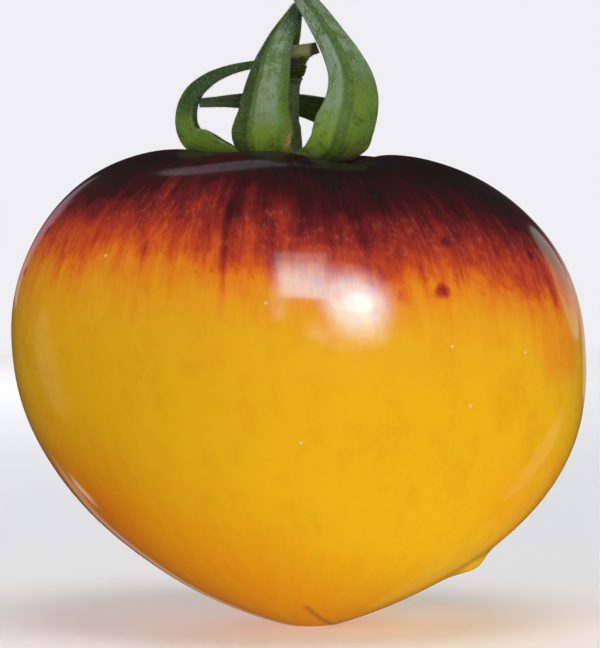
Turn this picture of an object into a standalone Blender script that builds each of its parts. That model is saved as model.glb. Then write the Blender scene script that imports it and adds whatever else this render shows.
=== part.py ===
"""An oxheart tomato: the heart-shaped fruit, its five-sepalled calyx and the stub of pedicel it was picked with.

Metres, +Z up. The origin is the middle of the small flat foot that the fruit rests on, at its blossom end.
-Y is the fruit's front. An azimuth is counted from +X towards +Y, as seen from above.
"""

import math

import bmesh
import bpy
from mathutils import Matrix, Vector

MM = 0.001

# The fruit, measured from its pointed blossom end before the foot is cut.
FRUIT_RADIUS = 40.0 * MM  # at the equator, across the front
EQUATOR_HEIGHT = 40.2 * MM
SHOULDER_RISE = 26.4 * MM  # from the equator to the top of the shoulders
SHOULDER_RADIUS = 14.7 * MM  # of the ring along the top of the shoulders
FRONT_TO_BACK = 0.96  # depth over width
LEAN = math.radians(3.0)  # the stem end sits to the left of the blossom end
SHOULDER_TILT = math.radians(1.6)  # the left shoulder stands higher
FOOT_CUT = 0.7 * MM  # height of the pointed end that the flat foot takes away
TIP_OFFSET = 0.45 * MM  # the blossom end lies this far right of the foot's middle

# The lower half follows height = 1 - cos(a) ** (2 / BULGE) and radius = sin(a) ** (2 * TAPER).
BULGE, BULGE_SIDE = 2.32, 0.21  # the second number is added on the right and taken off on the left
TAPER, TAPER_SIDE = 0.747, 0.058

LOBES = 5
LOBE_DEPTH = 0.010  # part of the radius, strongest at the shoulders
VALLEY_DEPTH = 0.6 * MM  # of the valleys that run out of the stem cavity between the lobes
DIP_AZIMUTH = math.radians(-62)  # one valley is deeper than the rest, in front
DIP_DEPTH = 1.2 * MM
DIP_SPREAD = math.radians(24)
CAVITY_DEPTH = 3.0 * MM  # the stem cavity, below the top of the shoulders
SEAT_RADIUS = 5.6 * MM  # its flat floor, which carries the calyx

WART_AZIMUTH = math.radians(-5)  # a corky wart low on the right flank
WART_HEIGHT = 9.3 * MM  # above the pointed end
WART_RISE = 1.4 * MM
WART_SPREAD = 2.3 * MM

# How the sphere's rings are shared between the lower half, the shoulders and the cavity.
EQUATOR_POLAR = 0.50 * math.pi
SHOULDER_POLAR = 0.84 * math.pi
FRUIT_SEGMENTS, FRUIT_RINGS = 72, 44

# The calyx and pedicel, from the middle of the cavity's floor.
GAP = 0.3 * MM  # between pieces that touch
RECEPTACLE_RADIUS = 4.8 * MM
RECEPTACLE_TOP_RADIUS = 3.0 * MM
RECEPTACLE_HEIGHT = 1.8 * MM
SEPAL_THICKNESS = 0.8 * MM
SEPAL_ROWS, SEPAL_COLUMNS = 20, 6

# name: azimuth, roll and cup in degrees, widest width in mm, and the points of the midrib in mm. The cup is half the
# angle that a section across the blade curls through.
SEPALS = {
    "front_left": (-114, 0, 50, 8.3, (
        (-1.0, -2.2, 1.3), (-2.4, -4.5, 1.8), (-3.8, -6.7, 3.0), (-4.4, -8.0, 5.2), (-4.2, -8.2, 7.6),
        (-3.8, -7.7, 10.4), (-3.3, -6.6, 13.6), (-2.6, -5.2, 16.7), (-1.5, -3.9, 19.3), (-0.3, -2.8, 21.4),
        (0.6, -2.0, 23.0), (1.0, -1.5, 24.1))),
    "front_right": (-40, -26, 50, 8.6, (
        (1.9, -1.9, 1.3), (4.0, -4.8, 1.6), (5.9, -8.2, 2.1), (7.4, -10.8, 3.7), (8.4, -11.2, 7.0),
        (8.9, -9.8, 10.6), (8.4, -8.0, 14.0), (7.1, -6.3, 17.2), (5.4, -4.9, 19.9), (3.7, -3.8, 22.3),
        (2.0, -3.0, 24.5), (0.9, -2.4, 26.2))),
    "back_right": (32, 32, 20, 6.9, (
        (2.1, 1.3, 1.3), (4.8, 3.0, 2.0), (7.2, 4.6, 3.2), (8.5, 5.7, 5.1), (8.5, 6.1, 7.6), (6.9, 5.9, 9.4),
        (4.2, 5.4, 10.2), (1.2, 4.9, 10.5), (-2.5, 4.5, 10.6), (-6.3, 4.3, 10.7), (-9.6, 4.2, 10.6),
        (-12.6, 4.2, 10.4))),
    "back_left": (104, 0, 50, 7.4, (
        (-0.6, 2.4, 1.3), (-1.4, 5.4, 2.0), (-2.1, 8.0, 3.4), (-2.7, 9.4, 6.0), (-2.8, 9.6, 9.6),
        (-2.4, 8.6, 13.2), (-1.3, 6.6, 16.8), (-0.3, 4.4, 20.0), (0.5, 2.4, 22.6), (0.9, 1.4, 23.9))),
    "left": (176, 0, 58, 8.2, (
        (-2.5, 0.2, 1.3), (-5.2, 0.4, 1.9), (-8.0, 0.5, 2.6), (-11.0, 0.7, 3.2), (-13.8, 0.8, 4.4),
        (-15.4, 0.9, 6.8), (-15.4, 1.0, 9.6), (-14.0, 1.0, 12.0), (-11.6, 1.0, 13.8), (-8.7, 1.0, 15.0),
        (-5.7, 0.8, 15.7), (-2.9, 0.5, 15.9))),
}
WIDEST_AT = 0.32  # part of a sepal's length
BASE_WIDTH, TIP_WIDTH = 0.60, 0.12  # parts of its widest width
CUP_AT_BASE = math.radians(15)

# x, y, z and radius in mm: the stalk, the knuckle where it was picked, and the stub beyond it.
PEDICEL = (
    (0.0, 0.0, 2.4, 1.8), (0.0, 0.1, 3.6, 1.5), (-0.1, 0.1, 6.5, 1.35), (-0.1, 0.2, 10.0, 1.35),
    (0.0, 0.3, 12.8, 1.45), (0.3, 0.3, 14.6, 1.85), (0.8, 0.3, 16.2, 1.85), (2.0, 0.2, 17.0, 1.25),
    (3.2, 0.2, 17.4, 1.05), (4.2, 0.2, 17.6, 1.0),
)
PEDICEL_STEPS = 3  # points of the tube for each point above


def clear_scene():
    for obj in list(bpy.data.objects):
        bpy.data.objects.remove(obj)


def new_collection(name):
    collection = bpy.data.collections.new(name)
    bpy.context.scene.collection.children.link(collection)
    return collection


def material(name, colour, roughness):
    """A non-metal with this linear colour."""
    mat = bpy.data.materials.new(name)
    mat.use_nodes = True
    shader = mat.node_tree.nodes["Principled BSDF"]
    shader.inputs["Base Color"].default_value = (*colour, 1)
    shader.inputs["Roughness"].default_value = roughness
    shader.inputs["Metallic"].default_value = 0
    return mat


def add_object(name, mesh, collection, mat, parent=None):
    obj = bpy.data.objects.new(name, mesh)
    collection.objects.link(obj)
    mesh.materials.append(mat)
    mesh.shade_smooth()
    obj.parent = parent
    return obj


def mesh_from(bm, name):
    mesh = bpy.data.meshes.new(name)
    bm.to_mesh(mesh)
    bm.free()
    return mesh


def smoothstep(x):
    x = min(max(x, 0.0), 1.0)
    return x * x * (3 - 2 * x)


def through(points, where):
    """A place on the smooth curve through these points: where runs from 0 to len(points) - 1."""
    last = len(points) - 1
    start = min(int(where), last - 1)
    t = where - start
    before, here, there, beyond = (Vector(points[min(max(start + k, 0), last)]) for k in (-1, 0, 1, 2))
    slope_here = (there - before) / 2
    slope_there = (beyond - here) / 2
    return (
        here * (2 * t**3 - 3 * t**2 + 1)
        + slope_here * (t**3 - 2 * t**2 + t)
        + there * (3 * t**2 - 2 * t**3)
        + slope_there * (t**3 - t**2)
    )


def fruit_profile(polar, azimuth):
    """Radius and height of the skin: polar runs from 0 at the pointed end to pi in the stem cavity."""
    if polar < EQUATOR_POLAR:
        angle = polar / EQUATOR_POLAR * math.pi / 2
        bulge = BULGE + BULGE_SIDE * math.cos(azimuth)
        taper = TAPER + TAPER_SIDE * math.cos(azimuth)
        return (
            FRUIT_RADIUS * math.sin(angle) ** (2 * taper),
            EQUATOR_HEIGHT * (1 - max(math.cos(angle), 0) ** (2 / bulge)),
        )
    if polar < SHOULDER_POLAR:
        angle = (polar - EQUATOR_POLAR) / (SHOULDER_POLAR - EQUATOR_POLAR) * math.pi / 2
        return (
            SHOULDER_RADIUS + (FRUIT_RADIUS - SHOULDER_RADIUS) * math.cos(angle),
            EQUATOR_HEIGHT + SHOULDER_RISE * math.sin(angle),
        )
    radius = SHOULDER_RADIUS * (math.pi - polar) / (math.pi - SHOULDER_POLAR)
    fall = 1 - smoothstep((radius - SEAT_RADIUS) / (SHOULDER_RADIUS - SEAT_RADIUS))
    return radius, EQUATOR_HEIGHT + SHOULDER_RISE - CAVITY_DEPTH * fall


def place_on_fruit(azimuth, radius, height):
    """Where a point of the round fruit lies once it is lobed, flattened and leaned, with the foot cut at z = 0."""
    valley = math.sin(LOBES * azimuth) * smoothstep(radius / SHOULDER_RADIUS - 0.4)
    valley *= smoothstep(height / (EQUATOR_HEIGHT + SHOULDER_RISE))
    radius *= 1 - LOBE_DEPTH * valley
    height -= VALLEY_DEPTH / 2 * valley * (1 - smoothstep((radius - SHOULDER_RADIUS) / SHOULDER_RADIUS))
    off_dip = (azimuth - DIP_AZIMUTH) / DIP_SPREAD
    off_rim = (radius - SHOULDER_RADIUS) / (0.5 * SHOULDER_RADIUS)
    if height > EQUATOR_HEIGHT:
        height -= DIP_DEPTH * math.exp(-(off_dip**2) - off_rim**2)
    x = radius * math.cos(azimuth)
    y = radius * math.sin(azimuth) * FRONT_TO_BACK
    tilted = max((height - EQUATOR_HEIGHT) / SHOULDER_RISE, 0) ** 2
    z = height - x * math.tan(SHOULDER_TILT) * tilted
    return Vector((x - height * math.tan(LEAN) + TIP_OFFSET, y, z - FOOT_CUT))


def wart_centre():
    part_way = 1 - WART_HEIGHT / EQUATOR_HEIGHT
    bulge = BULGE + BULGE_SIDE * math.cos(WART_AZIMUTH)
    taper = TAPER + TAPER_SIDE * math.cos(WART_AZIMUTH)
    radius = FRUIT_RADIUS * (1 - part_way**bulge) ** taper
    return place_on_fruit(WART_AZIMUTH, radius, WART_HEIGHT)


def make_fruit(collection):
    """A sphere whose points are moved onto the fruit's formula, with the pointed end cut to a small flat foot."""
    bm = bmesh.new()
    bmesh.ops.create_uvsphere(bm, u_segments=FRUIT_SEGMENTS, v_segments=FRUIT_RINGS, radius=1)
    wart = wart_centre()
    outward = Vector((math.cos(WART_AZIMUTH), math.sin(WART_AZIMUTH), -0.6)).normalized()
    for vert in bm.verts:
        polar = math.acos(min(max(-vert.co.z, -1), 1))
        azimuth = math.atan2(vert.co.y, vert.co.x)
        radius, height = fruit_profile(polar, azimuth)
        skin = place_on_fruit(azimuth, radius, height)
        rise = WART_RISE * math.exp(-(((skin - wart).length / WART_SPREAD) ** 2))
        vert.co = skin + outward * rise
    foot = bmesh.ops.bisect_plane(
        bm, geom=bm.verts[:] + bm.edges[:] + bm.faces[:], plane_co=(0, 0, 0), plane_no=(0, 0, -1), clear_outer=True
    )
    rim = [item for item in foot["geom_cut"] if isinstance(item, bmesh.types.BMEdge)]
    bmesh.ops.contextual_create(bm, geom=rim)
    bmesh.ops.recalc_face_normals(bm, faces=bm.faces)
    return add_object("fruit", mesh_from(bm, "fruit"), collection, material("skin", (0.80, 0.38, 0.01), 0.25))


def sepal_width(along):
    if along < WIDEST_AT:
        return BASE_WIDTH + (1 - BASE_WIDTH) * math.sin(along / WIDEST_AT * math.pi / 2)
    return 1 - (1 - TIP_WIDTH) * ((along - WIDEST_AT) / (1 - WIDEST_AT)) ** 0.9


def sepal_frame(points, azimuth, roll, along):
    """Midrib point, direction across the blade and direction into its cup."""
    where = along * (len(points) - 1)
    step = 0.05
    ahead = through(points, min(where + step, len(points) - 1)) - through(points, max(where - step, 0))
    ahead.normalize()
    across = Vector((-math.sin(azimuth), math.cos(azimuth), 0))
    across = (across - ahead * across.dot(ahead)).normalized()
    across.rotate(Matrix.Rotation(roll * smoothstep(along / WIDEST_AT), 3, ahead))
    return through(points, where), across, ahead.cross(across)


def make_sepal(name, azimuth_deg, roll_deg, cup_deg, width, points, collection, mat, parent):
    """A flat grid bent along the midrib and cupped across it, then given its thickness."""
    bm = bmesh.new()
    bmesh.ops.create_grid(bm, x_segments=SEPAL_COLUMNS, y_segments=SEPAL_ROWS, size=1)
    for vert in bm.verts:
        along = (vert.co.y + 1) / 2
        midrib, across, inward = sepal_frame(points, math.radians(azimuth_deg), math.radians(roll_deg), along)
        half = width / 2 * sepal_width(along)
        cup = CUP_AT_BASE + (math.radians(cup_deg) - CUP_AT_BASE) * smoothstep(along / WIDEST_AT)
        curl = vert.co.x * cup
        bend = half / math.sin(cup)
        vert.co = (midrib + across * bend * math.sin(curl) + inward * bend * (1 - math.cos(curl))) * MM
    bmesh.ops.triangulate(bm, faces=bm.faces)
    obj = add_object(name, mesh_from(bm, name), collection, mat, parent)
    solidify = obj.modifiers.new("thickness", "SOLIDIFY")
    solidify.thickness = SEPAL_THICKNESS
    solidify.offset = 0
    return obj


def join_all(obj, others):
    """Fuses every object of a collection into obj and removes them."""
    union = obj.modifiers.new("union", "BOOLEAN")
    union.operation = "UNION"
    union.operand_type = "COLLECTION"
    union.collection = others
    joined = bpy.data.meshes.new_from_object(obj.evaluated_get(bpy.context.evaluated_depsgraph_get()))
    obj.modifiers.clear()
    obj.data = joined
    for other in list(others.objects):
        bpy.data.objects.remove(other)
    bpy.data.collections.remove(others)


def make_calyx(collection, seat):
    """The receptacle, a low green button, with the five sepals fused into it."""
    green = material("sepal_green", (0.10, 0.17, 0.05), 0.6)
    bm = bmesh.new()
    bmesh.ops.create_cone(
        bm,
        cap_ends=True,
        segments=32,
        radius1=RECEPTACLE_RADIUS,
        radius2=RECEPTACLE_TOP_RADIUS,
        depth=RECEPTACLE_HEIGHT,
        matrix=Matrix.Translation((0, 0, GAP + RECEPTACLE_HEIGHT / 2)),
    )
    calyx = add_object("calyx", mesh_from(bm, "calyx"), collection, green, seat)
    blades = new_collection("sepals")
    for name, (azimuth, roll, cup, width, points) in SEPALS.items():
        make_sepal("sepal_" + name, azimuth, roll, cup, width, points, blades, green, seat)
    bpy.context.view_layer.update()
    join_all(calyx, blades)
    calyx.data.shade_smooth()
    return calyx


def make_pedicel(collection, seat):
    """A tube that swells into the knuckle and ends in the short stub beyond it."""
    curve = bpy.data.curves.new("pedicel", "CURVE")
    curve.dimensions = "3D"
    curve.bevel_depth = MM
    curve.bevel_resolution = 4
    curve.use_fill_caps = True
    spline = curve.splines.new("POLY")
    count = (len(PEDICEL) - 1) * PEDICEL_STEPS + 1
    spline.points.add(count - 1)
    for k, point in enumerate(spline.points):
        x, y, z, radius = through(PEDICEL, k / PEDICEL_STEPS)
        point.co = (x * MM, y * MM, z * MM, 1)
        point.radius = radius
    curve.materials.append(material("pedicel_green", (0.06, 0.07, 0.03), 0.65))
    pedicel = bpy.data.objects.new("pedicel", curve)
    collection.objects.link(pedicel)
    pedicel.parent = seat
    return pedicel


def main():
    clear_scene()
    tomato = new_collection("oxheart_tomato")
    make_fruit(tomato)
    seat = bpy.data.objects.new("stem_seat", None)
    seat.location = place_on_fruit(0, 0, EQUATOR_HEIGHT + SHOULDER_RISE - CAVITY_DEPTH)
    tomato.objects.link(seat)
    make_calyx(tomato, seat)
    make_pedicel(tomato, seat)


main()
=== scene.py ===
# %% [markdown]
# # Dressing an oxheart tomato
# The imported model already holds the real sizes: a heart-shaped fruit, its green calyx and the stub of its
# stalk. This lesson keeps that model as a fixed frame and puts finer pieces over it, with the skin's
# colours, the veins and the hairs. Everything is in metres, +Z is up, the front faces -Y, and the fruit
# stands on z = 0.

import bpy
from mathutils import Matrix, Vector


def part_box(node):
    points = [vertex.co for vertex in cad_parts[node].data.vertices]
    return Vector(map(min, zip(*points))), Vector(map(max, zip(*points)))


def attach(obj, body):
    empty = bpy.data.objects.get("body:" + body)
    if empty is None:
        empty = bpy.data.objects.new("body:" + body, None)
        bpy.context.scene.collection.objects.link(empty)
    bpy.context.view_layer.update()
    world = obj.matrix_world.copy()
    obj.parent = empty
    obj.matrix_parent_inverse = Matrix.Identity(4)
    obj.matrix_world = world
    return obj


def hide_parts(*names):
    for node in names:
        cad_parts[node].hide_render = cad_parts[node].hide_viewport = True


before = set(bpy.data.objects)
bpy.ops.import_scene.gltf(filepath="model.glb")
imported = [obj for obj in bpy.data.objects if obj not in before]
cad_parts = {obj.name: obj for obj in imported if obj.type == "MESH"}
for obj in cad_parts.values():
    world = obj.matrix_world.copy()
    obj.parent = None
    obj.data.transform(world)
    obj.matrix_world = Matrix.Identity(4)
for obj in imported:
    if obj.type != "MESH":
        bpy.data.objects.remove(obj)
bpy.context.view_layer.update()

# %% [markdown]
# ## Tools of the trade
# Botanical sizes are small, so lengths below are written in millimetres and multiplied by MM. Two helpers
# carry most of the shapes: a smooth step, and a smooth curve that passes through a short list of points (a
# Catmull-Rom curve).

# %% Units, the smooth step and the smooth curve
import math
import random
from types import SimpleNamespace

import bmesh
import bpy
from mathutils import Matrix, Vector, noise

MM = 0.001
UP = Vector((0, 0, 1))
NUDGE = 0.05  # counted in points along a curve


def in_mm(sides):
    return [round(side / MM, 1) for side in sides]


def smoothstep(x):
    x = min(max(x, 0.0), 1.0)
    return x * x * (3 - 2 * x)


def bell(distance, width):
    """1 at no distance, falling smoothly to nothing a few widths away."""
    return math.exp(-((distance / width) ** 2))


def through(points, where):
    """A place on the smooth curve through these points: where runs from 0 to len(points) - 1."""
    last = len(points) - 1
    start = min(int(where), last - 1)
    t = where - start
    before, here, there, beyond = (Vector(points[min(max(start + k, 0), last)]) for k in (-1, 0, 1, 2))
    slope_here = (there - before) / 2
    slope_there = (beyond - here) / 2
    return (
        here * (2 * t**3 - 3 * t**2 + 1)
        + slope_here * (t**3 - 2 * t**2 + t)
        + there * (3 * t**2 - 2 * t**3)
        + slope_there * (t**3 - t**2)
    )


def heading(points, where):
    """The direction of that curve, from a place just behind to a place just ahead."""
    last = len(points) - 1
    ahead = through(points, min(where + NUDGE, last)) - through(points, max(where - NUDGE, 0))
    return ahead.xyz.normalized()


print("half way up a smooth step:", smoothstep(0.5))

# %% [markdown]
# A piece is a mesh with a material that rides on the imported body. Each of ours also stands for a packed
# node, which is then hidden.

# %% Turn points and faces into a mesh, and a mesh into a piece
def mesh_of(bm, name):
    mesh = bpy.data.meshes.new(name)
    bm.to_mesh(mesh)
    bm.free()
    return mesh


def add_piece(name, mesh, material, node):
    mesh.materials.append(material)
    mesh.shade_smooth()
    piece = bpy.data.objects.new(name, mesh)
    bpy.context.scene.collection.objects.link(piece)
    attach(piece, "root")
    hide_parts(node)
    print(f"{name}: {len(mesh.vertices)} points, {len(mesh.polygons)} faces")
    return piece


# %% [markdown]
# ## Writing materials as sums
# A material is a graph of nodes. Wiring one by hand takes a screen of boxes, but most of it is arithmetic,
# so a Wire wraps a socket and lets Python's own + - * / ** add the Math nodes. Colours and vectors can't go
# through Math nodes, which would turn them grey, so they have helpers of their own.

# %% A socket that can be added and multiplied
class Wire:
    def __init__(self, finish, socket):
        self.finish = finish
        self.socket = socket

    def sum(self, operation, first, second):
        return self.finish.node("ShaderNodeMath", {"operation": operation}, {0: first, 1: second})

    def __add__(self, other):
        return self.sum("ADD", self, other)

    def __radd__(self, other):
        return self.sum("ADD", other, self)

    def __sub__(self, other):
        return self.sum("SUBTRACT", self, other)

    def __rsub__(self, other):
        return self.sum("SUBTRACT", other, self)

    def __mul__(self, other):
        return self.sum("MULTIPLY", self, other)

    def __rmul__(self, other):
        return self.sum("MULTIPLY", other, self)

    def __truediv__(self, other):
        return self.sum("DIVIDE", self, other)

    def __pow__(self, other):
        return self.sum("POWER", self, other)

    def __abs__(self):
        return self.sum("ABSOLUTE", self, 0)


# %% A material being made
class Finish:
    """Adds nodes to one material. Constant values go straight onto the shader's own sockets."""

    def __init__(self, name, constants):
        self.material = bpy.data.materials.new(name)
        self.material.use_nodes = True
        self.tree = self.material.node_tree
        self.shader = self.tree.nodes["Principled BSDF"]
        for socket, value in constants.items():
            self.shader.inputs[socket].default_value = value

    def plug(self, socket, value):
        if isinstance(value, Wire):
            self.tree.links.new(value.socket, socket)
        else:
            socket.default_value = value

    def node(self, kind, settings, sockets, output=0):
        node = self.tree.nodes.new(kind)
        for name, value in settings.items():
            if name == "stops":
                self.set_stops(node.color_ramp, value)
            else:
                setattr(node, name, value)
        for name, value in sockets.items():
            self.plug(node.inputs[name], value)
        return Wire(self, node.outputs[output])

    def set_stops(self, ramp, stops):
        while len(ramp.elements) < len(stops):
            ramp.elements.new(0.5)
        for element, (position, colour) in zip(ramp.elements, stops):
            element.position = position
            element.color = (*colour, 1)

    def mix(self, factor, first, second):
        """Two colours, mixed."""
        first, second = (value if isinstance(value, Wire) else (*value, 1) for value in (first, second))
        return self.node("ShaderNodeMix", {"data_type": "RGBA"}, {0: factor, 6: first, 7: second}, 2)

    def ramp(self, factor, stops):
        return self.node("ShaderNodeValToRGB", {"stops": stops}, {"Fac": factor})

    def between(self, value, low, high):
        """0 below low, 1 above high, and a smooth step between. It falls instead where low is above high."""
        ends = {"Value": value, "From Min": low, "From Max": high}
        return self.node("ShaderNodeMapRange", {"interpolation_type": "SMOOTHSTEP"}, ends)

    def vector(self, x, y, z):
        return self.node("ShaderNodeCombineXYZ", {}, {"X": x, "Y": y, "Z": z})

    def noise(self, place, scale, detail=2.0, roughness=0.5):
        sockets = {"Vector": place, "Scale": scale, "Detail": detail, "Roughness": roughness}
        return self.node("ShaderNodeTexNoise", {}, sockets)

    def distance_to(self, place, point):
        return self.node("ShaderNodeVectorMath", {"operation": "DISTANCE"}, {0: place, 1: point}, "Value")

    def place(self):
        """Where a point of the surface is, in metres."""
        return self.node("ShaderNodeTexCoord", {}, {}, "Object")

    def along(self, vector):
        """The three parts of a vector."""
        return [self.node("ShaderNodeSeparateXYZ", {}, {0: vector}, axis) for axis in "XYZ"]

    def stored(self, name):
        """A value that is kept with each point of the mesh."""
        return self.node("ShaderNodeAttribute", {"attribute_name": name}, {}, "Fac")

    def feed(self, socket, value):
        """Plugs a value into one of the shader's own sockets."""
        self.plug(self.shader.inputs[socket], value)

    def bump(self, height, depth):
        """Feeds the shader's Normal: depth is how far, in metres, a height of 1 stands out."""
        self.feed("Normal", self.node("ShaderNodeBump", {}, {"Height": height, "Distance": depth}))


# %% [markdown]
# ## The fruit's form
# An oxheart is broad-shouldered and comes to a blunt point. A sculpted ball would do, but a formula can be
# read and changed: the lower half follows two powers of sine and cosine, the shoulders are a quarter of an
# ellipse, and the stem cavity is a smooth dip. The whole is then flattened a little, leaned, and cut to a
# small flat foot.

# %% The fruit's measurements
FRUIT_RADIUS = 40.0 * MM
EQUATOR_HEIGHT = 40.2 * MM
SHOULDER_RISE = 26.4 * MM
SHOULDER_RADIUS = 14.7 * MM
FRONT_TO_BACK = 0.96
LEAN = math.radians(3.0)
SHOULDER_TILT = math.radians(1.6)
FOOT_CUT = 0.7 * MM
TIP_OFFSET = 0.45 * MM
BULGE, BULGE_SIDE = 2.32, 0.21
TAPER, TAPER_SIDE = 0.747, 0.058
LOBES = 5
LOBE_DEPTH = 0.010
VALLEY_DEPTH = 0.6 * MM
DIP_AZIMUTH = math.radians(-62)
DIP_DEPTH = 1.2 * MM
DIP_SPREAD = math.radians(24)
CAVITY_DEPTH = 3.0 * MM
SEAT_RADIUS = 5.6 * MM
EQUATOR_POLAR = 0.50 * math.pi
SHOULDER_POLAR = 0.84 * math.pi


def fruit_profile(polar, azimuth):
    """Radius and height of the skin: polar runs from 0 at the pointed end to pi in the stem cavity."""
    if polar < EQUATOR_POLAR:
        angle = polar / EQUATOR_POLAR * math.pi / 2
        bulge = BULGE + BULGE_SIDE * math.cos(azimuth)
        taper = TAPER + TAPER_SIDE * math.cos(azimuth)
        return (
            FRUIT_RADIUS * math.sin(angle) ** (2 * taper),
            EQUATOR_HEIGHT * (1 - max(math.cos(angle), 0) ** (2 / bulge)),
        )
    if polar < SHOULDER_POLAR:
        angle = (polar - EQUATOR_POLAR) / (SHOULDER_POLAR - EQUATOR_POLAR) * math.pi / 2
        return (
            SHOULDER_RADIUS + (FRUIT_RADIUS - SHOULDER_RADIUS) * math.cos(angle),
            EQUATOR_HEIGHT + SHOULDER_RISE * math.sin(angle),
        )
    radius = SHOULDER_RADIUS * (math.pi - polar) / (math.pi - SHOULDER_POLAR)
    fall = 1 - smoothstep((radius - SEAT_RADIUS) / (SHOULDER_RADIUS - SEAT_RADIUS))
    return radius, EQUATOR_HEIGHT + SHOULDER_RISE - CAVITY_DEPTH * fall


def place_on_fruit(azimuth, radius, height):
    """Where a point of the round fruit lies once it is lobed, flattened and leaned, with its foot at z = 0."""
    valley = math.sin(LOBES * azimuth) * smoothstep(radius / SHOULDER_RADIUS - 0.4)
    valley *= smoothstep(height / (EQUATOR_HEIGHT + SHOULDER_RISE))
    radius *= 1 - LOBE_DEPTH * valley
    height -= VALLEY_DEPTH / 2 * valley * (1 - smoothstep((radius - SHOULDER_RADIUS) / SHOULDER_RADIUS))
    off_dip = (azimuth - DIP_AZIMUTH) / DIP_SPREAD
    off_rim = (radius - SHOULDER_RADIUS) / (0.5 * SHOULDER_RADIUS)
    if height > EQUATOR_HEIGHT:
        height -= DIP_DEPTH * math.exp(-(off_dip**2) - off_rim**2)
    x = radius * math.cos(azimuth)
    y = radius * math.sin(azimuth) * FRONT_TO_BACK
    tilted = max((height - EQUATOR_HEIGHT) / SHOULDER_RISE, 0) ** 2
    z = height - x * math.tan(SHOULDER_TILT) * tilted
    return Vector((x - height * math.tan(LEAN) + TIP_OFFSET, y, z - FOOT_CUT))


SEAT = place_on_fruit(0, 0, EQUATOR_HEIGHT + SHOULDER_RISE - CAVITY_DEPTH)
print("the stalk grows from", in_mm(SEAT), "mm")

# %% [markdown]
# Real skin is never a perfect formula. It has swells that only a highlight shows, a corky wart low on one
# flank with a crease beside it, a short crease at the blossom end, and a rough ring where the stalk sinks
# in. A displacement texture could do it, but a small push of each point outward exports as it is.

# %% The fruit's blemishes in relief
SWELL_HEIGHT = 0.13 * MM
SWELL_SIZE = 11 * MM
WART_AZIMUTH = math.radians(-5)
WART_HEIGHT = 9.3 * MM
WART_RISE = 1.1 * MM
WART_SPREAD = 2.6 * MM
WART_DROOP = 0.6  # how far it leans down for each step out
NOTCH_DROP = 2.6 * MM  # from the wart down to the crease beside it
NOTCH_DEPTH = 0.5 * MM
NOTCH_SPREAD = 1.1 * MM
CREASE_FROM = Vector((-0.6 * MM, -13.0 * MM))  # at the blossom end, seen from below
CREASE_TO = Vector((2.9 * MM, -3.5 * MM))
CREASE_DEPTH = 0.15 * MM
CREASE_WIDTH = 0.45 * MM
CORK_RADIUS = 6.6 * MM  # the rough ring in the stem cavity
CORK_WIDTH = 1.2 * MM
CORK_HEIGHT = 0.12 * MM
CORK_GRAIN = 0.8 * MM


def wart_centre(height):
    part_way = 1 - height / EQUATOR_HEIGHT
    bulge = BULGE + BULGE_SIDE * math.cos(WART_AZIMUTH)
    taper = TAPER + TAPER_SIDE * math.cos(WART_AZIMUTH)
    return place_on_fruit(WART_AZIMUTH, FRUIT_RADIUS * (1 - part_way**bulge) ** taper, height)


WART = wart_centre(WART_HEIGHT)
NOTCH = wart_centre(WART_HEIGHT - NOTCH_DROP)
WART_OUTWARD = Vector((math.cos(WART_AZIMUTH), math.sin(WART_AZIMUTH), -WART_DROOP)).normalized()


def relief(skin, radius, height):
    """How far the skin stands out of its formula here, apart from the wart."""
    swell = SWELL_HEIGHT * noise.noise(skin / SWELL_SIZE) * smoothstep(height / SWELL_SIZE)
    crease_line = CREASE_TO - CREASE_FROM
    part_way = (skin.xy - CREASE_FROM).dot(crease_line) / crease_line.length_squared
    off_crease = (skin.xy - CREASE_FROM - crease_line * min(max(part_way, 0), 1)).length
    crease = CREASE_DEPTH * bell(off_crease, CREASE_WIDTH) * (height < EQUATOR_HEIGHT)
    ring = bell(radius - CORK_RADIUS, CORK_WIDTH) * (height > EQUATOR_HEIGHT)
    cork = CORK_HEIGHT * ring * noise.noise(skin / CORK_GRAIN)
    return swell - crease + cork


print("the wart sits at", in_mm(WART), "mm")

# %% Make the fruit
FRUIT_SEGMENTS, FRUIT_RINGS = 288, 190


def make_fruit():
    """A fine sphere whose points are moved onto the formula, and pushed out or in by the relief."""
    bm = bmesh.new()
    bmesh.ops.create_uvsphere(bm, u_segments=FRUIT_SEGMENTS, v_segments=FRUIT_RINGS, radius=1)
    pushes = {}
    for vert in bm.verts:
        polar = math.acos(min(max(-vert.co.z, -1), 1))
        azimuth = math.atan2(vert.co.y, vert.co.x)
        radius, height = fruit_profile(polar, azimuth)
        skin = place_on_fruit(azimuth, radius, height)
        wart = WART_RISE * bell((skin - WART).length, WART_SPREAD)
        notch = NOTCH_DEPTH * bell((skin - NOTCH).length, NOTCH_SPREAD)
        vert.co = skin + WART_OUTWARD * (wart - notch)
        pushes[vert] = relief(skin, radius, height)
    bm.normal_update()
    outward = {vert: vert.normal.copy() for vert in bm.verts}
    for vert, push in pushes.items():
        vert.co += outward[vert] * push
        vert.co.z = max(vert.co.z, 0)
    return mesh_of(bm, "fruit_skin")


fruit_mesh = make_fruit()
fruit_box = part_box("fruit")
print("packed fruit is", in_mm(fruit_box[1] - fruit_box[0]), "mm")

# %% [markdown]
# ## The skin's finish
# The dark shoulders come from a purple pigment that forms where the sun falls. It fades through maroon and
# orange-red to gold, in streaks that run down the fruit like the lines of longitude on a globe. One number
# drives it all: the height above the edge of the pigment, in millimetres, pushed up and down by streaks,
# bays and freckles. A colour ramp then turns that number into a colour, so every mark blends in by itself.

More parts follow.
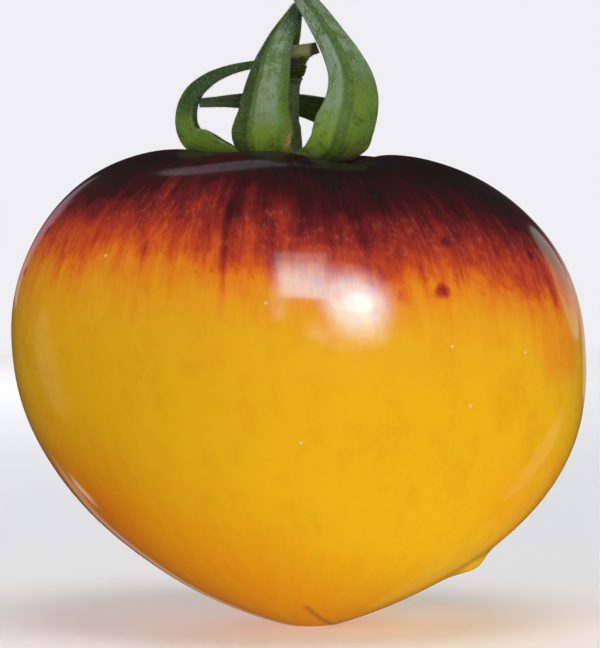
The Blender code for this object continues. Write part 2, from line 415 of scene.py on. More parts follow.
# %% The pigment's colours and its edge
PIGMENT_AND_SHEEN = (  # millimetres above the pigment's edge, and the colour there
    (-20.0, (0.880, 0.455, 0.007)),
    (-13.0, (0.880, 0.430, 0.011)),
    (-9.0, (0.880, 0.352, 0.013)),
    (-6.0, (0.855, 0.250, 0.012)),
    (-4.0, (0.785, 0.155, 0.012)),
    (-2.0, (0.620, 0.075, 0.016)),
    (0.0, (0.430, 0.040, 0.018)),
    (2.0, (0.270, 0.023, 0.018)),
    (4.0, (0.150, 0.014, 0.016)),
    (6.5, (0.060, 0.009, 0.010)),
    # The darkest stop is greyed a little as a painted sheen.
    (10.0, (0.021, 0.010, 0.010)),
)
EDGE_HEIGHT = 53.0  # millimetres above the foot
EDGE_SWAY = 3.0  # how far slow waves move the edge, in mm
STREAK_SHIFT, FINE_STREAK_SHIFT, BLOTCH_SHIFT = 8.0, 3.6, 6.5  # and finer patterns
BAYS = (  # azimuth, sharpness, rise of the edge and the height where the bay ends, both in mm
    (-150, 80, 3.2, 61),
    (-107, 25, 3.4, 90),
    (-76, 30, -2.6, 90),
    (-56, 110, 2.4, 90),
    (-28, 40, -3.0, 90),
    (48, 18, 3.0, 90),
    (158, 22, 2.8, 90),
)
STREAKS = (  # azimuth, half width, foot and top in mm, strength in mm of pigment
    (-104.2, 1.1, 41.5, 60.0, 3.8),
    (-122.8, 0.8, 47.5, 55.0, 3.2),
    (-94.0, 0.7, 50.5, 57.5, 2.4),
    (-63.8, 0.8, 43.5, 52.0, 2.6),
    (-33.5, 1.2, 37.0, 50.0, 1.8),
    (-27.5, 1.8, 38.0, 50.0, 1.8),
    (-146.0, 0.9, 45.5, 53.0, 2.6),
    (12.0, 1.2, 43.0, 55.0, 3.5),
    (76.0, 1.0, 45.0, 56.0, 3.5),
    (131.0, 1.3, 41.0, 55.0, 3.5),
)
FLUSH_AZIMUTH = -28  # of a band of orange down the right side
FLUSH_WIDTH = (3.8, 6.2)  # half widths of its core and of all of it, in mm
FLUSH_FOOT = (31.5, 38.0)  # the heights in mm between which it fades out
FLUSH_PIGMENT = -7.6  # the least pigment in it
FRECKLES = (  # azimuth, height and radius in mm, strength in mm of pigment
    (-59.8, 47.5, 1.5, 6.5),
    (-55.5, 53.8, 1.1, 3.5),
    (-161.0, 55.3, 1.3, 5.0),
    (-164.3, 49.6, 1.1, 7.0),
    (-30.4, 52.0, 1.0, 3.5),
    (21.0, 47.0, 1.2, 7.0),
    (104.0, 49.0, 1.3, 7.0),
)
SPECKS_AND_GLINTS = (  # azimuth and height in mm of the palest specks, which are also painted glints
    (-132.7, 52.1), (-95.6, 46.1), (-59.5, 40.3), (-55.6, 32.4),
    (-90.4, 27.9), (-40.9, 39.2), (35.0, 44.0), (120.0, 38.0),
)
PALE_FLECK, DARK_FLECK = (0.80, 0.24, 0.085), (0.30, 0.030, 0.012)
# The low orange is the riper blossom end's colour, and also painted shade low on the left and on both flanks.
LOW_ORANGE_AND_SHADE, MOTTLE = (0.84, 0.195, 0.002), (0.81, 0.35, 0.006)
# The pale specks' colour, partly a painted glint.
PALE_SPECK_AND_GLINT = (0.95, 0.72, 0.40)
STALK_RING, CREASE, SCAR = (0.10, 0.06, 0.02), (0.42, 0.12, 0.012), (0.16, 0.055, 0.012)
SPECK_RADIUS = (0.12, 0.30)  # of a named speck's core and of all of it, in mm
SPECK_SPACING = 7.5 * MM  # between the others


def skin_at(azimuth_deg, height_mm):
    """The point of the fruit's formula at this azimuth and height, for placing a mark."""
    azimuth = math.radians(azimuth_deg)
    low, high = 0.0, SHOULDER_POLAR
    for _ in range(30):
        polar = (low + high) / 2
        point = place_on_fruit(azimuth, *fruit_profile(polar, azimuth))
        low, high = (polar, high) if point.z < height_mm * MM else (low, polar)
    return point


print("the first freckle sits at", in_mm(skin_at(*FRECKLES[0][:2])), "mm")


# %% Where a place of the skin lies
def skin_place(skin):
    """A place in the fruit's own measures, in mm, with the patterns that run down its lines of longitude."""
    at = SimpleNamespace(place=skin.place())
    at.x, at.y, z = skin.along(at.place)
    at.height = z / MM
    at.across = (at.x + (z + FOOT_CUT) * math.tan(LEAN) - TIP_OFFSET) / MM
    at.deep = at.y / (FRONT_TO_BACK * MM)
    at.radius = (at.across * at.across + at.deep * at.deep) ** 0.5
    at.east, at.north = at.across / at.radius, at.deep / at.radius

    def drawn_out(around, down):
        """A pattern's place: the larger around, the narrower its streaks; the larger down, the longer."""
        return skin.vector(at.east * around, at.north * around, at.height / down)

    at.globe = drawn_out(17, 9)
    at.streaks = skin.noise(at.globe, 1.0, 3, 0.6)
    at.fine_streaks = skin.noise(drawn_out(60, 3), 1.0, 3, 0.65)
    at.flecks = skin.noise(drawn_out(44, 1.1), 1.0, 4, 0.7)
    at.mottle = skin.noise(drawn_out(9, 5), 1.0, 4, 0.65)
    return at


def facing(at, azimuth):
    """1 on this line of longitude, 0 a quarter of the way round."""
    turn = math.radians(azimuth)
    return at.east * math.cos(turn) + at.north * math.sin(turn)


def off_line(at, azimuth):
    """How far a place is from this line of longitude, in mm."""
    return abs(facing(at, azimuth + 90)) * (FRUIT_RADIUS / MM)


def off_mark(skin, at, azimuth, height):
    """How far a place is from a mark, in mm."""
    return skin.distance_to(at.place, skin_at(azimuth, height)) / MM


# %% How much pigment a place has
def pigment_level(skin, at):
    """Millimetres above the pigment's edge, moved by bays, patterns, streaks, the flush and freckles."""
    edge = EDGE_HEIGHT + EDGE_SWAY * (skin.noise(skin.vector(at.east, at.north, 0), 2.3, 2) - 0.5)
    for azimuth, sharpness, rise, top in BAYS:
        bay = skin.between(facing(at, azimuth), 0, 1) ** sharpness
        edge = edge + rise * bay * skin.between(at.height, top, top - 6)
    blotches = skin.noise(at.place, 1 / (4.2 * MM), 4, 0.6)
    pigment = at.height - edge + STREAK_SHIFT * (at.streaks - 0.5)
    pigment = pigment + FINE_STREAK_SHIFT * (at.fine_streaks - 0.5) + BLOTCH_SHIFT * (blotches - 0.5)
    for azimuth, half_width, foot, top, strength in STREAKS:
        line = skin.between(off_line(at, azimuth) + 1.2 * (at.fine_streaks - 0.5), half_width, 0)
        line = line * skin.between(facing(at, azimuth), 0, 0.1)
        line = line * skin.between(at.height, foot, foot + 8) * skin.between(at.height, top, top - 2)
        pigment = pigment + strength * line
    core, rim = FLUSH_WIDTH
    flush = skin.between(off_line(at, FLUSH_AZIMUTH) + 1.6 * (at.streaks - 0.5), rim, core)
    flush = flush * skin.between(facing(at, FLUSH_AZIMUTH), 0, 0.1) * skin.between(at.height, *FLUSH_FOOT)
    lacking = FLUSH_PIGMENT + 4 * (at.fine_streaks - 0.5) - pigment
    pigment = pigment + 0.5 * (lacking + abs(lacking)) * flush
    for azimuth, freckle_height, size, strength in FRECKLES:
        gone = off_mark(skin, at, azimuth, freckle_height) + 1.6 * (at.fine_streaks - 0.5)
        pigment = pigment + strength * skin.between(gone, size, size * 0.2)
    return pigment


# %% [markdown]
# Small marks make the skin look grown: pale specks where pores have corked over, partly painted glints,
# a brown ring round the stalk, and the crease and the scar that the flower left. Each is a mask from 0 to 1,
# worked out from how far a place is from the mark, so that one mask can serve the colour, the roughness and
# the bump alike.

# %% The marks on the skin
def add_marks(skin, at):
    """Pale specks partly as painted glints, the stalk's ring, the blossom end's crease and scar, each 0 to 1.
    """
    # Pale specks, partly painted glints: random ones from a grid of cells, and the named ones.
    grid = {"Vector": at.place, "Scale": 1 / SPECK_SPACING}
    dots = skin.node("ShaderNodeTexVoronoi", {"feature": "F1"}, grid, "Distance")
    at.speck = 0.6 * skin.between(dots, 0.035, 0.015) * skin.between(at.pigment, 1, -3)
    for azimuth, speck_height in SPECKS_AND_GLINTS:
        core, rim = SPECK_RADIUS
        at.speck = at.speck + skin.between(off_mark(skin, at, azimuth, speck_height), rim, core)
    at.around_stalk = skin.between(at.radius, 8.0, 5.6) * skin.between(at.height, 50, 55)
    slant = (CREASE_TO - CREASE_FROM).normalized()
    from_x, from_y = (at.x - CREASE_FROM.x) / MM, (at.y - CREASE_FROM.y) / MM
    off_crease = abs(from_x * slant.y - from_y * slant.x) + 0.5 * (at.fine_streaks - 0.5)
    down_crease = from_x * slant.x + from_y * slant.y
    at.crease = skin.between(off_crease, 0.9, 0.2) * skin.between(down_crease, -0.8, 0.4)
    at.crease = at.crease * skin.between(at.height, 8, 5)
    at.scar = skin.between(at.radius + 1.2 * (at.fine_streaks - 0.5), 2.4, 1.0)
    at.scar = at.scar * skin.between(at.height, 6, 4)


# %% The skin's colour
def skin_colour(skin, at):
    """The pigment's colour, flecked where it turns, orange and mottled where it's ripe, and the marks.
    The orange is also painted shade low on the left and on both flanks, and the pale specks are partly painted
    glints.
    """
    low, high = PIGMENT_AND_SHEEN[0][0], PIGMENT_AND_SHEEN[-1][0]
    stops = [((rise - low) / (high - low), colour) for rise, colour in PIGMENT_AND_SHEEN]
    colour = skin.ramp((at.pigment - low) / (high - low), stops)
    turning = skin.between(at.pigment, -9, -4) * skin.between(at.pigment, 7, 1)
    colour = skin.mix(0.26 * skin.between(at.flecks, 0.50, 0.72) * turning, colour, PALE_FLECK)
    colour = skin.mix(0.40 * skin.between(at.flecks, 0.46, 0.30) * turning, colour, DARK_FLECK)
    # Orange towards the blossom end, pulled further to the left and onto both flanks low down as painted
    # shade.
    orange_and_shade = skin.between(at.height + 8 * (at.streaks - 0.5) + 0.45 * at.across, 22, -4)
    orange_and_shade = orange_and_shade + 0.5 * skin.between(abs(at.across), 18, 32) * skin.between(at.height, 30, 15)
    ripe = skin.between(at.pigment, -2, -9)
    colour = skin.mix(0.85 * orange_and_shade * ripe, colour, LOW_ORANGE_AND_SHADE)
    colour = skin.mix(0.5 * skin.between(at.mottle, 0.45, 0.70) * ripe, colour, MOTTLE)
    # Pale specks, partly painted glints.
    colour = skin.mix(0.65 * at.speck, colour, PALE_SPECK_AND_GLINT)
    colour = skin.mix(0.8 * at.around_stalk, colour, STALK_RING)
    colour = skin.mix(0.55 * at.crease, colour, CREASE)
    return skin.mix(at.scar, colour, SCAR)


# %% The skin's material
PEEL_SIZE = 0.9 * MM
SKIN_BUMP = 0.04 * MM


def tomato_skin():
    skin = Finish(
        "tomato_skin",
        {
            "IOR": 1.45,
            "Specular IOR Level": 0.0,
            "Coat Roughness": 0.12,
            "Coat IOR": 1.5,
            "Subsurface Weight": 0.10,
            "Subsurface Radius": (1.0, 0.45, 0.12),
            "Subsurface Scale": 2.0 * MM,
        },
    )
    at = skin_place(skin)
    at.pigment = pigment_level(skin, at)
    add_marks(skin, at)
    skin.feed("Base Color", skin_colour(skin, at))
    skin.feed("Roughness", 0.40 + 0.10 * (at.mottle - 0.5) + 0.3 * at.around_stalk + 0.2 * at.scar)

    # Duller round the stalk and on the back shoulder, where the lamps in front glance off the skin.
    near_stalk = skin.between(at.radius, 30, 24) * skin.between(at.height, 58, 62)
    back_shoulder = skin.between(at.deep, 0, 10) * skin.between(at.height, 46, 54)
    coat = (1 - 0.66 * near_stalk) * (1 - 0.72 * back_shoulder)
    skin.feed("Coat Weight", coat * (1 - 0.22 * skin.between(at.flecks, 0.42, 0.66)))

    peel = skin.noise(at.place, 1 / PEEL_SIZE, 2, 0.5)
    ripples = skin.noise(at.globe, 1.6, 2, 0.5)
    skin.bump(0.35 * peel + ripples + 0.6 * at.speck, SKIN_BUMP)
    print("the skin's material has", len(skin.tree.nodes), "nodes")
    return skin.material


add_piece("tomato_fruit", fruit_mesh, tomato_skin(), "fruit")

# %% [markdown]
# ## The sepals' form
# Five sepals grow from the receptacle under the stalk. On a ripe fruit they dry a little, rear up and curl
# back over the stalk. Each is a long blade that follows its midrib, cupped across like a gutter and creased
# along a few lines. Bending a flat grid by formula keeps the creases crisp: across the blade the surface
# turns from one heading to another, slowly over the facets and fast at the folds, and adding up those
# headings gives the section.

# %% The sepals' measurements
# azimuth, roll and cup in degrees, widest width in mm, folds (place across, share of the turn),
# and the points of the midrib in mm from the stalk's seat
SEPALS = {
    "front_left": (-114, 9, 50, 8.7, ((-0.10, 0.34), (0.59, 0.3)), (
        (-1.1, -2.2, 1.3), (-2.6, -4.5, 1.8), (-4.1, -6.7, 3.0), (-4.7, -8.0, 5.2), (-4.5, -8.2, 7.6),
        (-4.1, -7.7, 10.4), (-3.5, -6.6, 13.6), (-2.8, -5.2, 16.7), (-1.7, -3.9, 19.3), (-0.4, -2.8, 21.4),
        (0.7, -2.0, 23.0), (1.3, -1.5, 24.1))),
    "front_right": (-40, -35, 50, 8.7, ((-0.35, 0.45),), (
        (2.0, -1.9, 1.3), (4.0, -4.8, 1.6), (5.9, -8.2, 2.1), (7.4, -10.8, 3.7), (8.4, -11.2, 7.0),
        (9.1, -9.8, 10.6), (8.8, -8.0, 14.0), (7.5, -6.3, 17.2), (5.9, -4.9, 19.9), (4.2, -3.8, 22.3),
        (2.4, -3.0, 24.5), (1.0, -2.4, 26.2))),
    "back_right": (32, 32, 20, 6.9, ((0.0, 0.3),), (
        (2.1, 1.3, 1.3), (4.8, 3.0, 1.9), (7.2, 4.6, 2.9), (8.5, 5.7, 4.5), (8.5, 6.1, 6.8),
        (6.7, 5.9, 8.6), (4.1, 5.4, 9.7), (1.2, 4.9, 10.4), (-2.5, 4.5, 10.7), (-6.3, 4.3, 10.7),
        (-9.6, 4.2, 10.6), (-12.8, 4.2, 10.4))),
    "back_left": (104, 0, 50, 7.4, ((-0.35, 0.3), (0.4, 0.3)), (
        (-0.6, 2.4, 1.3), (-1.4, 5.4, 2.0), (-2.1, 8.0, 3.4), (-2.7, 9.4, 6.0), (-2.8, 9.6, 9.6),
        (-2.4, 8.6, 13.2), (-1.3, 6.6, 16.8), (-0.3, 4.4, 20.0), (0.5, 2.4, 22.6), (0.9, 1.4, 23.9))),
    "left": (176, 0, 58, 8.2, ((0.0, 0.35),), (
        (-2.5, 0.2, 1.3), (-5.4, 0.4, 1.6), (-8.4, 0.5, 2.0), (-11.5, 0.7, 2.6), (-14.3, 0.8, 3.9),
        (-15.6, 0.9, 6.4), (-15.5, 1.0, 9.4), (-14.2, 1.0, 12.0), (-11.8, 1.0, 13.9), (-8.8, 1.0, 15.1),
        (-5.7, 0.8, 15.7), (-2.9, 0.5, 15.9))),
}
WIDEST_AT = 0.32  # part of a sepal's length
BASE_WIDTH, TIP_WIDTH = 0.72, 0.12  # parts of its widest width
BLUNT_TIPS = {"back_right": 0.30, "front_right": 0.24}
CUP_AT_BASE = math.radians(15)
RIB_THICKNESS, MARGIN_THICKNESS = 0.80, 0.26  # millimetres
FOLD_SHARPNESS = 0.07
GROOVE_DEPTH, GROOVE_WIDTH = 0.16, 0.055  # millimetres, and part of the half width
VEINS = 11
VEIN_HEIGHT = 0.035  # millimetres
WAVE_HEIGHT = 0.14  # millimetres, of the margins
WAVE_TURN, WAVE_SLANT = 16, 2.5  # how much a wave's angle grows along and across
TIP_THINNING = 0.45  # part of the thickness that is lost towards the tip
ROWS, COLUMNS = 110, 44


def sepal_width(name, along):
    if along < WIDEST_AT:
        return BASE_WIDTH + (1 - BASE_WIDTH) * math.sin(along / WIDEST_AT * math.pi / 2)
    past = (along - WIDEST_AT) / (1 - WIDEST_AT)
    return 1 - (1 - BLUNT_TIPS.get(name, TIP_WIDTH)) * past**0.9 * smoothstep(past / 0.15)


def sepal_frame(points, azimuth, roll, along):
    """Midrib point, direction across the blade and direction into its cup."""
    where = along * (len(points) - 1)
    ahead = heading(points, where)
    across = Vector((-math.sin(azimuth), math.cos(azimuth), 0))
    across = (across - ahead * across.dot(ahead)).normalized()
    across.rotate(Matrix.Rotation(roll * smoothstep(along / WIDEST_AT), 3, ahead))
    return through(points, where), across, ahead.cross(across)


def section(half, cup, folds):
    """Points across a cupped blade, as (sideways, inward, heading), from one margin to the other."""
    even_share = 1 - sum(share for _, share in folds)
    places = [-1 + 2 * k / COLUMNS for k in range(COLUMNS + 1)]
    headings = []
    for v in places:
        turned = even_share * v
        for fold, share in folds:
            turned += share * math.tanh((v - fold) / FOLD_SHARPNESS)
        headings.append(cup * turned)
    sideways, inward = [0.0], [0.0]
    for a, b in zip(headings, headings[1:]):
        sideways.append(sideways[-1] + math.cos((a + b) / 2))
        inward.append(inward[-1] + math.sin((a + b) / 2))
    middle = COLUMNS // 2
    size = 2 * half / (sideways[-1] - sideways[0])
    return [
        ((s - sideways[middle]) * size, (i - inward[middle]) * size, h)
        for s, i, h in zip(sideways, inward, headings)
    ]


print("a sepal is widest", WIDEST_AT, "of the way along")

# %% [markdown]
# The blade needs two skins, close together at the margins and further apart at the midrib. The skin on the
# outside of the cup carries the groove of the midrib and the fine parallel veins. Keeping the surface as a
# function of two numbers, along and across, also tells the hairs later where to grow and the material where
# the veins run.

# %% Patches of the sepals
PATCH_BLUR = 0.14  # how wide a patch's soft edge is, across or along
GROOVE_SHADE_WIDTH = 0.09  # part of the half width, of the painted shade along the midrib's groove
# Bloom patches are the downy bloom and also a painted sheen and painted light where a face catches the light;
# shade patches are painted shade; dry patches are dried margins painted brighter as painted light.
SEPAL_PATCHES = {  # kind, from and to across (-1 to 1), from and to along (0 to 1), strength
    "front_left": (
        ("shade", -2, -0.18, -1, 0.80, 0.75),
        ("bloom", -0.12, 0.58, 0.36, 0.84, 1.0),
        ("bloom", 0.58, 2, 0.60, 0.90, 0.35),
        ("shade", -0.10, 2, 0.77, 2, 0.85),
        ("shade", -2, -0.10, 0.87, 2, 0.8),
        ("dry", 0.72, 2, 0.10, 0.32, 0.8),
    ),
    "front_right": (
        ("bloom", -2, -0.40, 0.36, 0.95, 1.0),
        ("bloom", -2, -0.40, 0.54, 0.90, 1.6),
        ("dry", 0.05, 2, 0.13, 0.27, 1.0),
        ("shade", -0.34, -0.10, 0.28, 0.48, 0.45),
        ("bloom", -0.10, 2, 0.55, 0.92, 0.9),
    ),
    "back_right": (("shade", -2, 2, 0.35, 0.85, 0.7), ("bloom", -2, 2, 0.86, 2, 3.0)),
    "back_left": (("shade", -2, 2, 0.2, 0.8, 0.5), ("bloom", -0.3, 0.3, 0.4, 0.9, 0.5)),
    "left": (("shade", 0.15, 2, 0.52, 2, 0.7), ("bloom", -2, 0.15, 0.50, 2, 0.8)),
}
PATCH_KINDS = ("bloom", "shade", "dry", "rib")

# %% The surface of a sepal
def sepal_row(name, along):
    """For one row: the outer skin's points, the inner skin's points and the outward directions, in mm."""
    azimuth_deg, roll_deg, cup_deg, width, folds, points = SEPALS[name]
    midrib, across, inward = sepal_frame(points, math.radians(azimuth_deg), math.radians(roll_deg), along)
    half = width / 2 * sepal_width(name, along) + MARGIN_THICKNESS / 2
    cup = CUP_AT_BASE + (math.radians(cup_deg) - CUP_AT_BASE) * smoothstep(along / WIDEST_AT)
    phase = 0.7 * azimuth_deg
    outer, inner, outwards = [], [], []
    for k, (sideways, inwards, heading) in enumerate(section(half, cup, folds)):
        v = -1 + 2 * k / COLUMNS
        outward = across * math.sin(heading) - inward * math.cos(heading)
        wave = math.sin(WAVE_TURN * along + WAVE_SLANT * v + phase)
        wave *= WAVE_HEIGHT * abs(v) ** 3 * smoothstep(5 * along)
        middle = midrib + across * sideways + inward * inwards + outward * wave
        thickness = MARGIN_THICKNESS + (RIB_THICKNESS - MARGIN_THICKNESS) * (1 - abs(v) ** 2.5)
        thickness *= 1 - TIP_THINNING * smoothstep((along - 0.6) / 0.4)
        groove = GROOVE_DEPTH * bell(v - folds[0][0], GROOVE_WIDTH)
        groove *= smoothstep(6 * along) * smoothstep(5 * (1 - along))
        veins = VEIN_HEIGHT * math.cos(VEINS * math.pi * v) * (1 - abs(v) ** 4)
        outer.append(middle + outward * (thickness / 2 - groove + veins))
        inner.append(middle - outward * (thickness / 2 + veins))
        outwards.append(outward)
    return outer, inner, outwards


def patch_strength(name, kind, v, along):
    """How strongly a kind of patch shows at this place of a blade. The midrib groove's painted shade runs
    along the first fold.
    """
    if kind == "rib":
        *_, folds, _ = SEPALS[name]
        return 1 - smoothstep(abs(v - folds[0][0]) / GROOVE_SHADE_WIDTH)
    strongest = 0.0
    for patch_kind, v_from, v_to, along_from, along_to, strength in SEPAL_PATCHES[name]:
        if patch_kind == kind:
            for past_edge in (v - v_from, v_to - v, along - along_from, along_to - along):
                strength *= smoothstep(past_edge / PATCH_BLUR + 0.5)
            strongest = max(strongest, strength)
    return strongest


def make_sepal_mesh(name):
    """A closed sheet: the outer skin's grid, the inner skin's grid, and a band that joins them all round."""
    places, flats = [], []
    marks = {kind: [] for kind in PATCH_KINDS}
    for side in (0, 1):
        for row in range(ROWS + 1):
            along = row / ROWS
            for k, point in enumerate(sepal_row(name, along)[side]):
                v = -1 + 2 * k / COLUMNS
                places.append(SEAT + point * MM)
                flats.append((v / 2 + 0.5, along))
                for kind, values in marks.items():
                    values.append(patch_strength(name, kind, v, along))
    in_row = COLUMNS + 1
    in_skin = (ROWS + 1) * in_row
    faces = []
    for row in range(ROWS):
        for k in range(COLUMNS):
            corner = row * in_row + k
            faces.append((corner, corner + 1, corner + in_row + 1, corner + in_row))
            inside = corner + in_skin
            faces.append((inside, inside + in_row, inside + in_row + 1, inside + 1))
    rim = list(range(COLUMNS))
    rim += [row * in_row + COLUMNS for row in range(ROWS)]
    rim += [ROWS * in_row + k for k in range(COLUMNS, 0, -1)]
    rim += [row * in_row for row in range(ROWS, 0, -1)]
    for here, there in zip(rim, rim[1:] + rim[:1]):
        faces.append((there, here, here + in_skin, there + in_skin))
    mesh = bpy.data.meshes.new("sepal_" + name)
    mesh.from_pydata(places, [], faces)
    flat_map = mesh.uv_layers.new(name="blade")
    for loop in mesh.loops:
        flat_map.data[loop.index].uv = flats[loop.vertex_index]
    for kind, values in marks.items():
        mesh.attributes.new(kind, "FLOAT", "POINT").data.foreach_set("value", values)
    return mesh


# %% [markdown]
# ## The sepals' finish
# A sepal is green and yellower at its base, and its base is also painted brighter as painted light. It has
# parallel fibres, a painted shade along the groove of its midrib, and a silvery bloom where it is downy, which
# is also a painted sheen and painted light on the faces that catch the light. It is nearly black where its own
# folds shade it, which is painted shade, and straw-coloured where a margin has dried, painted brighter there
# as painted light. Painting that by hand would do, but values kept with the mesh's points say just as well how
# strong each patch is, and noise breaks up their edges. The sheen is one constant of the shader, and all that
# varies goes into the colour.

# %% The sepals' material
SEPAL_GREENS_LIT_AT_BASE = (  # part of the length, and the colour there; the base is painted brighter as painted light
    (0.00, (0.260, 0.300, 0.050)),
    (0.12, (0.330, 0.420, 0.055)),
    (0.24, (0.260, 0.390, 0.040)),
    (0.40, (0.155, 0.260, 0.025)),
    (0.65, (0.080, 0.140, 0.028)),
    (1.00, (0.060, 0.100, 0.030)),
)
FIBRE_GREEN, DEEP_GREEN, GROOVE_SHADE_GREEN = (0.140, 0.220, 0.034), (0.045, 0.095, 0.008), (0.035, 0.07, 0.010)
DULL_BLOOM_AND_SHEEN, SILVERY_BLOOM_AND_SHEEN, SHADED = (0.13, 0.19, 0.085), (0.26, 0.34, 0.21), (0.022, 0.036, 0.009)
MARGIN_BROWN, STRAW_AND_LIGHT = (0.13, 0.13, 0.05), (0.60, 0.46, 0.10)
YELLOW_FLECK, SILVERY_FLECK = (0.42, 0.48, 0.14), (0.34, 0.42, 0.24)


def sepal_green():
    green = Finish(
        "sepal_green",
        {
            "IOR": 1.42,
            "Specular IOR Level": 0.15,
            "Sheen Weight": 0.08,
            "Sheen Roughness": 0.45,
            "Sheen Tint": (0.85, 0.95, 0.85, 1),
            "Subsurface Weight": 0.08,
            "Subsurface Radius": (0.3, 0.6, 0.1),
            "Subsurface Scale": 0.6 * MM,
        },
    )
    place = green.place()
    across, along, _ = green.along(green.node("ShaderNodeUVMap", {"uv_map": "blade"}, {}))
    off_middle = abs(across - 0.5) * 2
    fibres = green.noise(green.vector(across * 26, along * 5, 0), 1.0, 3, 0.6)
    patches = green.noise(place, 1 / (2.0 * MM), 3, 0.65)
    grain = green.noise(place, 1 / (0.34 * MM), 3, 0.6)
    bloom, shade, dry, rib = (green.stored(kind) for kind in PATCH_KINDS)
    margin = green.between(off_middle, 0.88, 1.0)
    # The silvery bloom: down, and a painted sheen.
    downy_and_sheen = bloom * green.between(patches + 0.4 * fibres + 0.5 * grain, 0.78, 1.05)
    flecks = green.between(grain, 0.62, 0.72) * (1 - 0.6 * shade)
    # Greens along the blade, painted brighter at the base as painted light.
    colour = green.ramp(along, SEPAL_GREENS_LIT_AT_BASE)
    for share, layer in (
        (0.4 * green.between(fibres, 0.40, 0.70), FIBRE_GREEN),
        (0.70 * green.between(patches, 0.50, 0.70), DEEP_GREEN),
        (0.35 * bloom, DULL_BLOOM_AND_SHEEN),
        (0.85 * downy_and_sheen, SILVERY_BLOOM_AND_SHEEN),
        # The midrib's groove, painted shade.
        (0.5 * rib, GROOVE_SHADE_GREEN),
        (shade, SHADED),
        (0.45 * margin * (1 - shade), MARGIN_BROWN),
        # Dried margins, straw-coloured, painted brighter as painted light.
        (dry * green.between(grain, 0.30, 0.55), STRAW_AND_LIGHT),
        (0.55 * green.between(along, 0.75, 0.20) * flecks, YELLOW_FLECK),
        (0.30 * flecks, SILVERY_FLECK),
    ):
        colour = green.mix(share, colour, layer)
    green.feed("Base Color", colour)
    green.feed("Roughness", 0.56 + 0.14 * (patches - 0.5) + 0.1 * bloom)
    green.bump(fibres + 0.4 * grain + 0.6 * patches, 0.06 * MM)
    return green.material


sepal_material = sepal_green()
for sepal_name in SEPALS:
    add_piece("sepal_" + sepal_name, make_sepal_mesh(sepal_name), sepal_material, "calyx")

# %% [markdown]
# ## The receptacle
# The sepals and the stalk meet in a low green button. Its rim swells under each sepal, so it is a sphere
# flattened into a dome whose radius rises and falls five times round.

# %% Make the receptacle
RECEPTACLE_RADIUS = 4.5 * MM
RECEPTACLE_HEIGHT = 2.2 * MM
SEAT_GAP = 0.3 * MM
SWELL_SHARE, SWELL_ANGLE = 0.14, 0.22  # of the radius, and the half angle's sine where a swelling ends
RECEPTACLE_GRAIN = 0.08 * MM


def make_receptacle_mesh():
    bm = bmesh.new()
    bmesh.ops.create_uvsphere(bm, u_segments=96, v_segments=40, radius=1)
    azimuths = [math.radians(values[0]) for values in SEPALS.values()]
    for vert in bm.verts:
        azimuth = math.atan2(vert.co.y, vert.co.x)
        swell = sum(bell(math.sin((azimuth - centre) / 2), SWELL_ANGLE) for centre in azimuths)
        spread = RECEPTACLE_RADIUS * (0.90 + SWELL_SHARE * swell)
        spread += RECEPTACLE_GRAIN * noise.noise(vert.co * 5)
        lift = RECEPTACLE_HEIGHT * (vert.co.z / 2 + 0.5) ** 0.8
        vert.co = SEAT + Vector((vert.co.x * spread, vert.co.y * spread, SEAT_GAP + lift))
    return mesh_of(bm, "receptacle")


def receptacle_green():
    green = Finish("receptacle_green", {"IOR": 1.42, "Specular IOR Level": 0.2, "Sheen Weight": 0.05})
    place = green.place()
    patches = green.noise(place, 1 / (0.9 * MM), 4, 0.6)
    colour = green.mix(green.between(patches, 0.35, 0.7), (0.055, 0.10, 0.018), (0.12, 0.15, 0.035))
    green.feed("Base Color", colour)
    green.feed("Roughness", 0.55 + 0.2 * (patches - 0.5))
    green.bump(patches, 0.12 * MM)
    return green.material


add_piece("receptacle", make_receptacle_mesh(), receptacle_green(), "calyx")

# %% [markdown]
# ## The stalk
# The fruit was picked at its knuckle, the swollen joint where the stalk lets go. Below the knuckle runs a
# thin ring, and beyond it a short dry stub. A curve with a bevel would give a smooth pipe, so the tube is
# swept in code instead: that way it can carry ribs along its length, the ring, and a ragged end.

# %% The stalk's measurements
# x, y, z and radius in mm from the seat
PEDICEL = (
    (0.0, 0.0, 2.0, 2.3), (0.0, 0.1, 3.6, 1.5), (-0.1, 0.1, 6.5, 1.35), (-0.1, 0.2, 10.0, 1.35),
    (0.0, 0.3, 12.8, 1.45), (0.3, 0.3, 14.6, 1.85), (0.8, 0.3, 16.2, 1.85), (1.9, 0.2, 17.1, 1.25),
    (2.9, 0.2, 17.5, 0.88), (3.9, 0.2, 17.8, 0.80),
)
KNUCKLE_FROM, RING_AT = 4.2, 4.45  # counted in points along the stalk
RING_RISE, RING_GROOVE = 0.06, 0.10  # parts of the radius
STALK_STEPS = 18  # rows for each point
STALK_SIDES = 48
STALK_RIBS = 6
RIB_HEIGHT = 0.07  # part of the radius
RAGGED_END = 0.22  # millimetres
HOLLOW_WIDTH, HOLLOW_DEPTH = 0.62, 0.28 * MM  # part of the end's width, and how far it sinks in


def stalk_radius(where, angle, radius):
    """The radius here, with its ribs, the ring and its groove, and a rough surface."""
    near_knuckle = smoothstep(where - KNUCKLE_FROM)
    ribs = RIB_HEIGHT * (1 - near_knuckle) * math.cos(STALK_RIBS * angle + 0.35 * where)
    ring = RING_RISE * bell(where - RING_AT, 0.07) - RING_GROOVE * bell(where - RING_AT - 0.18, 0.09)
    rough_place = Vector((math.cos(angle) * 1.3, math.sin(angle) * 1.3, where * 1.6))
    rough = (0.02 + 0.05 * near_knuckle) * noise.noise(rough_place * 1.7)
    return radius * (1 + ribs + ring + rough)


